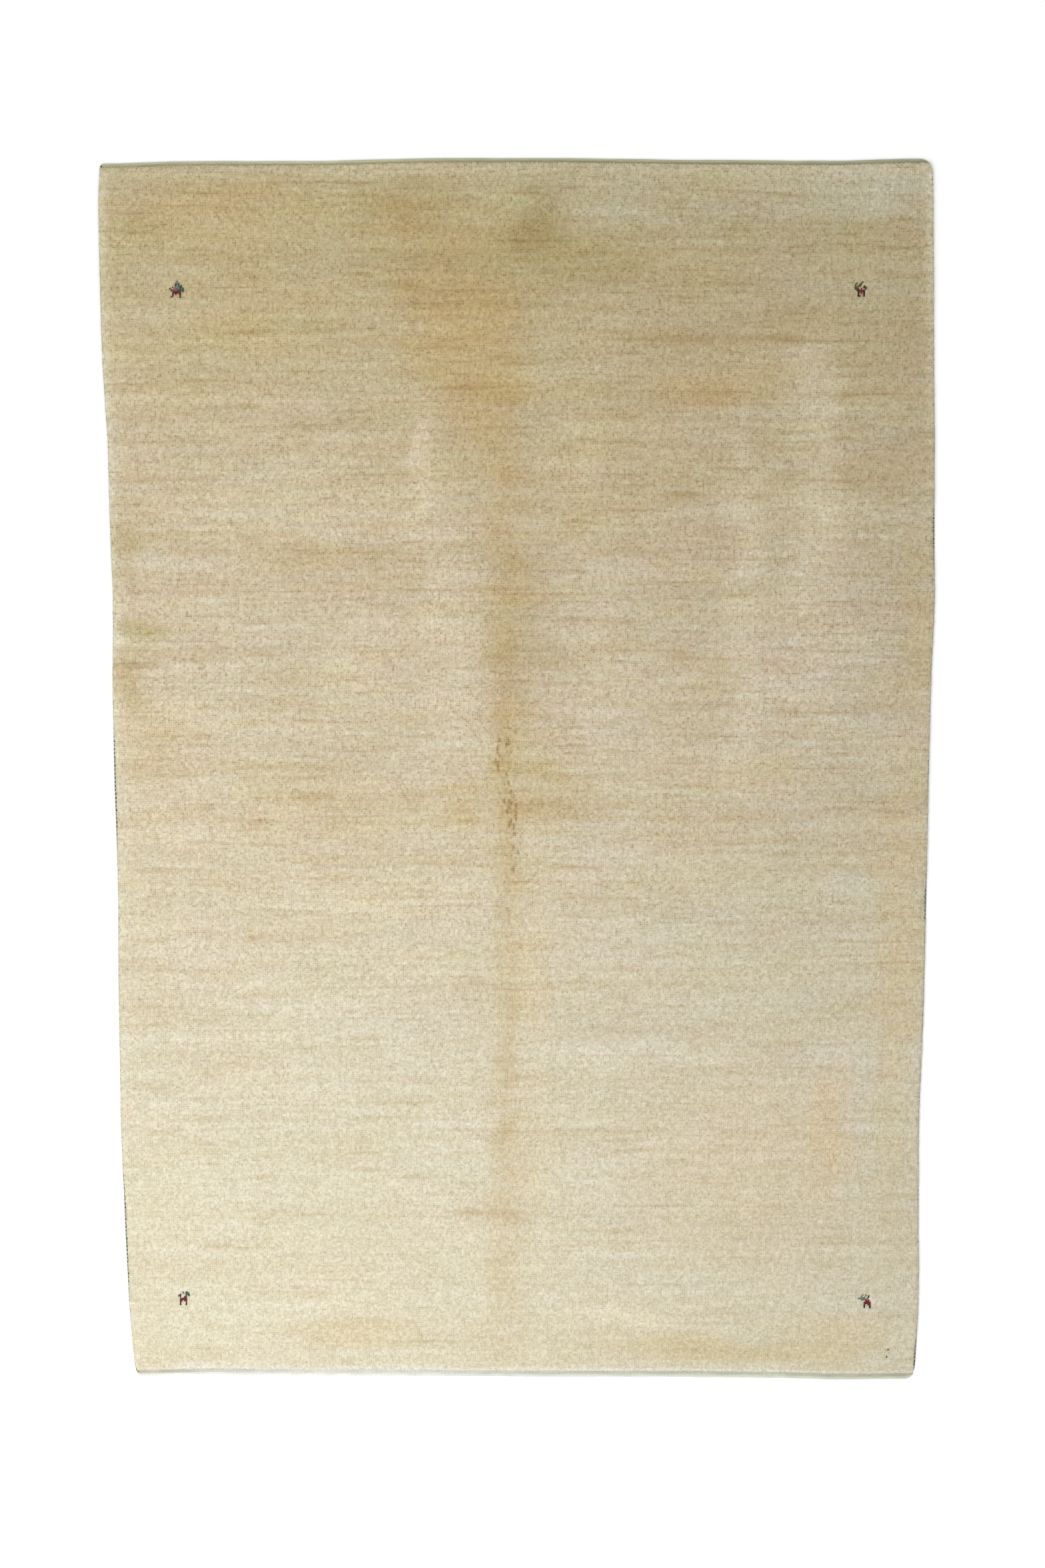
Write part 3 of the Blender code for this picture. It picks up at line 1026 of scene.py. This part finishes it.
def make_backing_material():
    """The rug's back: rows of knot loops, in the wool's own colour, with painted shade between the loops."""
    material, tree, shader = new_material("knotted_back")
    place = add_node(tree, "ShaderNodeTexCoord").outputs["Object"]
    colour = add_node(tree, "ShaderNodeAttribute", attribute_name="wool_colour_and_painted_light").outputs["Color"]
    rows, columns = [
        add_node(
            tree,
            "ShaderNodeTexWave",
            {"Vector": place, "Scale": WAVE_SCALE, "Distortion": 0.6, "Detail": 1.0},
            bands_direction=direction,
        ).outputs["Fac"]
        for direction in "YX"
    ]
    beads = add_node(tree, "ShaderNodeMath", {0: rows, 1: columns}, operation="MULTIPLY")
    # Painted shade between the beads
    shade = add_node(
        tree,
        "ShaderNodeMapRange",
        {"Value": beads.outputs[0], "From Min": 0.0, "From Max": 0.8, "To Min": 0.72, "To Max": 1.0},
    )
    tinted = add_node(
        tree, "ShaderNodeVectorMath", {0: colour, 3: shade.outputs["Result"]}, operation="SCALE"
    )
    bump = add_node(
        tree, "ShaderNodeBump", {"Height": beads.outputs[0], "Strength": 0.6, "Distance": 0.8 * MM}
    )
    finish_wool(tree, shader, tinted.outputs[0], bump)
    return material


# %% Backing cloth
BACK_COLUMNS, BACK_ROWS = 24, 120


def make_ground_cloth():
    """The woven backing, one closed thin sheet."""
    cloth, s, t = add_grid("ground_cloth", BACK_COLUMNS, BACK_ROWS)
    count = len(s)
    t = 0.2 * t + 0.8 * (0.5 - 0.5 * np.cos(math.pi * t))
    solid = cloth.modifiers.new("thickness", "SOLIDIFY")
    solid.thickness = BACKING
    bpy.ops.object.modifier_apply(modifier=solid.name)
    s, t = np.tile(s, 2), np.tile(t, 2)
    x = 2 * s - 1
    for _ in range(3):
        y = (end_at(x, 0) + 1.5 * MM) * (1 - t) + (end_at(x, 1) - 1.5 * MM) * t
        x = (side_at(y, 0) + 0.3 * MM) * (1 - s) + (side_at(y, 1) - 0.3 * MM) * s
    from_end = np.minimum(
        y - end_at(x, 0) - HEM_WIDTH["first"], end_at(x, 1) - HEM_WIDTH["last"] - y
    )
    field = np.clip((from_end - 5 * MM) / (4 * MM), 0, 1)
    top = 2.8 * MM + (BACKING - 2.8 * MM) * field
    bottom = 1.2 * MM * (1 - field)
    z = np.where(np.arange(len(s)) < count, top, bottom)
    write_places(cloth.data, np.stack([x, y, z], 1))
    store_colour(cloth.data, wool_colour_and_painted_light(x, y) * 0.97)
    bpy.ops.object.mode_set(mode="EDIT")
    point_outwards()
    face, _, _, vertex, _ = face_loops(cloth.data)
    normals = read_vectors(cloth.data.polygons, "normal")
    side = np.where(normals[:, 2] > 0, 0.5, 0.0)[face]
    layer = cloth.data.uv_layers.new(name="OFBake")
    place = np.stack([side + 0.01 + 0.48 * s[vertex], MAP_FOOT + MAP_HEIGHT * t[vertex]], 1)
    layer.uv.foreach_set("vector", place.astype(np.float32).ravel())
    cloth.data.materials.append(make_backing_material())
    return cloth


ground_cloth = make_ground_cloth()
print(ground_cloth.name, len(ground_cloth.data.polygons), "faces")

# %% [markdown]
# ## Hems and cords
#
# All three kinds of edge are made like a rolled strip: a flat grid whose columns go round the
# section and whose rows follow the edge. The two long sides of the grid then meet and are
# welded, and the open ends are filled.

# %% Roll a grid into a closed strip


def roll_up(name, sides, rings, place, tint, bands, material):
    """A long closed piece. place and tint give each point's position and colour."""
    piece, s, t = add_grid(name, sides, rings)
    write_places(piece.data, place(s, t))
    store_colour(piece.data, tint(s, t))
    lay_bake_map(piece.data, s, t, bands)
    bpy.ops.object.mode_set(mode="EDIT")
    bpy.ops.mesh.select_all(action="SELECT")
    bpy.ops.mesh.remove_doubles(threshold=0.01 * MM)
    bpy.ops.object.mode_set(mode="OBJECT")
    shown = len(piece.data.polygons)
    bpy.ops.object.mode_set(mode="EDIT")
    select_open_rim()
    bpy.ops.mesh.fill_holes(sides=0)
    point_outwards()
    smooth_first(piece.data, shown)
    cell_hidden_faces(piece.data, shown)
    piece.data.materials.append(material)
    print(name, len(piece.data.polygons), "faces")
    return piece


# %% [markdown]
# ** Hems.** The band without knots is folded under once and stitched down. Its outer half is
# the smooth fold, its inner half shows the wefts packed over the warps as fine ribs, and the
# pile leans over its inner edge. Both hems are paler and greener than the pile. The ribs are
# darker, partly a painted shadow of the pile that leans over them, and each rib's groove gets
# painted shade. The outer line is painted light: a painted highlight on the first hem's roll
# and painted shade on the last hem's, which is darker throughout, partly from painted shade.

# %% Hem shape and colour
RIB = 3.6 * MM
HEM_TUCK = 5.0 * MM
HEM_LEAST = 2 * MM

# For each hem: how far it reaches past the woven end, and its left and right insets
HEM_REACH = {"first": (2.2 * MM, -2.0 * MM, -0.5 * MM), "last": (0.0 * MM, -2.0 * MM, 5.0 * MM)}

# Round the section: share of the hem's width from the outer edge, height, rib share
HEM_SECTION = (
    (1.00, 0.0 * MM, 0.0),
    (0.20, 0.0 * MM, 0.0),
    (0.04, 0.7 * MM, 0.1),
    (0.00, 2.1 * MM, 0.2),
    (0.05, 3.5 * MM, 0.3),
    (0.18, 4.2 * MM, 0.4),
    (0.42, 4.1 * MM, 0.5),
    (0.50, 3.4 * MM, 0.8),
    (0.60, 3.8 * MM, 1.0),
    (0.90, 3.8 * MM, 1.0),
    (1.00, 3.6 * MM, 0.0),
)

# Colour along the hem: x, the fold, the ribs, and the outer line; the outer line is painted light, a
# highlight on the first hem and shade on the last
HEM_COLOURS = {
    "first": (
        (-0.93, "#e6e6dd", "#c8c3b2", "#e8e8df"),
        (-0.72, "#e5e6dc", "#d4d5c8", "#e6e7de"),
        (-0.53, "#e3e4db", "#dcdbce", "#e4e5dc"),
        (-0.23, "#e0e2d9", "#d5d7ce", "#e1e3da"),
        (0.37, "#d2d4c6", "#c8c9b8", "#d4d6c8"),
        (0.67, "#cccfc0", "#c1c4b0", "#ced2c1"),
        (0.86, "#c9cab5", "#bab6a3", "#cbccb8"),
    ),
    "last": (
        (-1.00, "#bcbda0", "#c1bb95", "#a2a890"),
        (-0.45, "#c0bf9f", "#bcb58c", "#a9af92"),
        (0.10, "#b3b190", "#b4ad87", "#9da088"),
        (0.55, "#b2b08e", "#aea781", "#969b7e"),
        (1.00, "#a6a88d", "#aba684", "#7f846c"),
    ),
}


def make_hem(which):
    """One folded and ribbed hem, laid along the rug's end."""
    first = which == "first"
    inward = 1 if first else -1
    section = np.array(HEM_SECTION)
    sides = len(section)
    end = 0 if first else 1
    past, *insets = HEM_REACH[which]
    left, right = [
        float(side_at(ends[-side, end] + inward * CORNERS[side][0], side)) for side in (0, 1)
    ]
    ribs = round((right - left) / RIB)
    ring_x = np.linspace(left + insets[0], right - insets[1], 2 * ribs + 1)
    drop = corner_drop(ring_x - left + SELVEDGE, CORNERS[0][1 + end])
    drop += corner_drop(right + SELVEDGE - ring_x, CORNERS[1][1 + end]) - past
    outer = end_at(ring_x, end) + inward * np.minimum(drop, HEM_WIDTH[which] - HEM_LEAST)
    inner = end_at(ring_x, end) + inward * HEM_WIDTH[which]
    table = HEM_COLOURS[which]
    stops = [row[0] for row in table]
    shades = [np.array([srgb(row[1 + part]) for row in table]) for part in range(3)]

    def point_of(s, t):
        """A point's ring along the hem, and its share, height and rib from the section."""
        corner = np.round(s * sides).astype(int) % sides
        return np.round(t * 2 * ribs).astype(int), *section[corner].T

    def place(s, t):
        ring, share, height, ribbed = point_of(s, t)
        width = (inner[ring] - outer[ring]) * inward
        depth = share * width + np.where(share > 0.99, HEM_TUCK, 0)
        groove = np.where(ring % 2 == 0, 0.0, 1.0) * ribbed
        wave = 0.35 * MM * soft_noise(ring_x[ring], 0 * s, 0.05, 1.0, 31 + first)
        z = height - 0.55 * MM * groove
        y = outer[ring] + inward * (depth + np.where(share < 0.1, 0.3 * MM * groove + wave, 0))
        return np.stack([ring_x[ring], y, np.maximum(z, 0)], 1)

    def tint(s, t):
        ring, share, _, ribbed = point_of(s, t)
        x = ring_x[ring]
        fold, rib, painted_roll_light = [
            np.stack([np.interp(x, stops, shade[:, band]) for band in range(3)], 1) for shade in shades
        ]
        colour = np.where((share > 0.45)[:, None], rib, fold)
        # The outer line: painted highlight on the first hem's roll, painted shade on the last hem's
        colour = np.where((share < 0.1)[:, None], painted_roll_light, colour)
        streak = 1 + 0.05 * soft_noise(x, share, 0.03, 0.3, 41) + 0.04 * soft_noise(x, share, 0.2, 0.5, 42)
        # Each rib's groove gets painted shade
        return colour * (streak * (1 - 0.16 * ribbed * (ring % 2)))[:, None]

    return roll_up(f"hem_{which}", sides, 2 * ribs, place, tint, 14, hem_wool)


# %% [markdown]
# **Cords.** The outer warps are wrapped with two yarns, a pale one and a dark one, so every
# third turn is dark. The wraps are really 1 mm strands laid side by side; each turn here is a
# bead of about 3.3 mm, a little slanted, like the bundle of strands between two rows of knots.

# %% Cord shape and colour
WRAP = 3.35 * MM
CORD_SIDES = 8
SLANT = 0.7 * MM
CORD_PALE = ("#a7ad97", "#8f997f")
CORD_DARK = "#27301f"


def make_cord(name, which):
    """One wrapped cord along a long side, following the frame's own."""
    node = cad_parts[name]
    tube = BVHTree.FromPolygons(
        [node.matrix_world @ vertex.co for vertex in node.data.vertices],
        [tuple(face.vertices) for face in node.data.polygons],
    )
    inward = 1 if which == 0 else -1
    low = min(vertex.co.y for vertex in node.data.vertices) + 0.4 * MM
    high = max(vertex.co.y for vertex in node.data.vertices) - 0.4 * MM
    outer = []
    for y in np.linspace(low, high, 900):
        hit = tube.ray_cast(Vector((-inward * FAR, y, SELVEDGE / 2)), Vector((inward, 0, 0)))[0]
        if hit is not None:
            outer.append((hit.x, hit.y))
    outer = np.array(outer)
    way = np.gradient(outer, axis=0)
    way /= np.linalg.norm(way, axis=1)[:, None]
    normal = np.stack([way[:, 1], -way[:, 0]], 1) * inward
    middle = outer + normal * SELVEDGE / 2
    steps = np.linalg.norm(np.diff(middle, axis=0), axis=1)
    reach = np.concatenate([[0], np.cumsum(steps)])
    wraps = round(reach[-1] / WRAP)

    def place(s, t):
        angle = 2 * math.pi * s
        ring = np.round(t * 2 * wraps).astype(int)
        radius = SELVEDGE / 2 - np.where(ring % 2 == 0, 0.45 * MM, 0)
        at = t * reach[-1] + SLANT * np.sin(angle)
        x, y = np.interp(at, reach, middle[:, 0]), np.interp(at, reach, middle[:, 1])
        nx, ny = np.interp(at, reach, normal[:, 0]), np.interp(at, reach, normal[:, 1])
        out = radius * np.cos(angle)
        z = SELVEDGE / 2 + radius * np.sin(angle)
        return np.stack([x + nx * out, y + ny * out, z], 1)

    def tint(s, t):
        ring = np.round(t * 2 * wraps).astype(int)
        wrap = (ring + 1) // 2
        pale = srgb(CORD_PALE[which])[None, :] * (1 + 0.07 * np.sin(wrap * 2.1 + which))[:, None]
        colour = np.where((wrap % 3 == 0)[:, None], srgb(CORD_DARK)[None, :], pale)
        # Painted shade in the groove between two wraps
        return colour * np.where(ring % 2 == 0, 0.8, 1.0)[:, None]

    return roll_up(name + "_wraps", CORD_SIDES, 2 * wraps, place, tint, 24, cord_wool)


hem_wool = make_wool("woven_hem")
cord_wool = make_wool("overcast_wool")
hems = [make_hem("first"), make_hem("last")]
cords = [make_cord("selvedge_left", 0), make_cord("selvedge_right", 1)]

# %% [markdown]
# ## Light, floor and camera
#
# A pale floor, an even white surround and one large soft lamp, as in a studio. The camera
# hangs over the rug, a little nearer the end woven last, which is why that end looks wider.

# %% Stage
SURROUND = 0.90
SOFTBOX_WATTS = 140
CAMERA_AT = (0.0046, 0.5965, 5.330)
CAMERA_TILT = 6.3

deselect_everything()
bpy.ops.mesh.primitive_plane_add(size=14, location=(0, 0, -0.2 * MM))
floor = bpy.context.object
floor.name = "studio_floor"
floor_material, _, floor_shader = new_material("painted_floor")
floor_shader.inputs["Base Color"].default_value = (*linear("#fafafa"), 1)
floor_shader.inputs["Roughness"].default_value = 0.8
floor.data.materials.append(floor_material)

world = bpy.data.worlds.new("studio_surround")
world.use_nodes = True
world.node_tree.nodes["Background"].inputs["Color"].default_value = (1, 1, 1, 1)
world.node_tree.nodes["Background"].inputs["Strength"].default_value = SURROUND
bpy.context.scene.world = world
bpy.context.scene.view_settings.view_transform = "Standard"

bpy.ops.object.light_add(type="AREA", location=(-2.0, -3.0, 5.0))
softbox = bpy.context.object
softbox.name = "softbox"
softbox.data.shape = "SQUARE"
softbox.data.size = 3.0
softbox.data.energy = SOFTBOX_WATTS
aim = Vector((0, 0, 0)) - softbox.location
softbox.rotation_euler = aim.to_track_quat("-Z", "Y").to_euler()

bpy.ops.object.camera_add(location=CAMERA_AT, rotation=(math.radians(-CAMERA_TILT), 0, 0))
camera = bpy.context.object
camera.data.lens = 50
camera.data.sensor_width = 36
bpy.context.scene.camera = camera

# %% [markdown]
# ## What each piece stands for
#
# The backing is the cut cloth, 2.0 by 3.0 m, lying flat. The pile, goats and hems go with it
# and stand for the frame's woven body. Each wrapped cord stands for its own selvedge.

# %% Ride on the root, and hide the frame's parts that the pieces replace
woven_pieces = strips + motifs + hems
for piece in [ground_cloth] + woven_pieces:
    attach(piece, "root")
    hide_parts("rug_body")
for piece, node in zip(cords, ("selvedge_left", "selvedge_right")):
    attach(piece, "root")
    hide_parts(node)

made = [ground_cloth] + woven_pieces + cords
total = sum(len(face.vertices) - 2 for piece in made for face in piece.data.polygons)
print("triangles in all:", total)
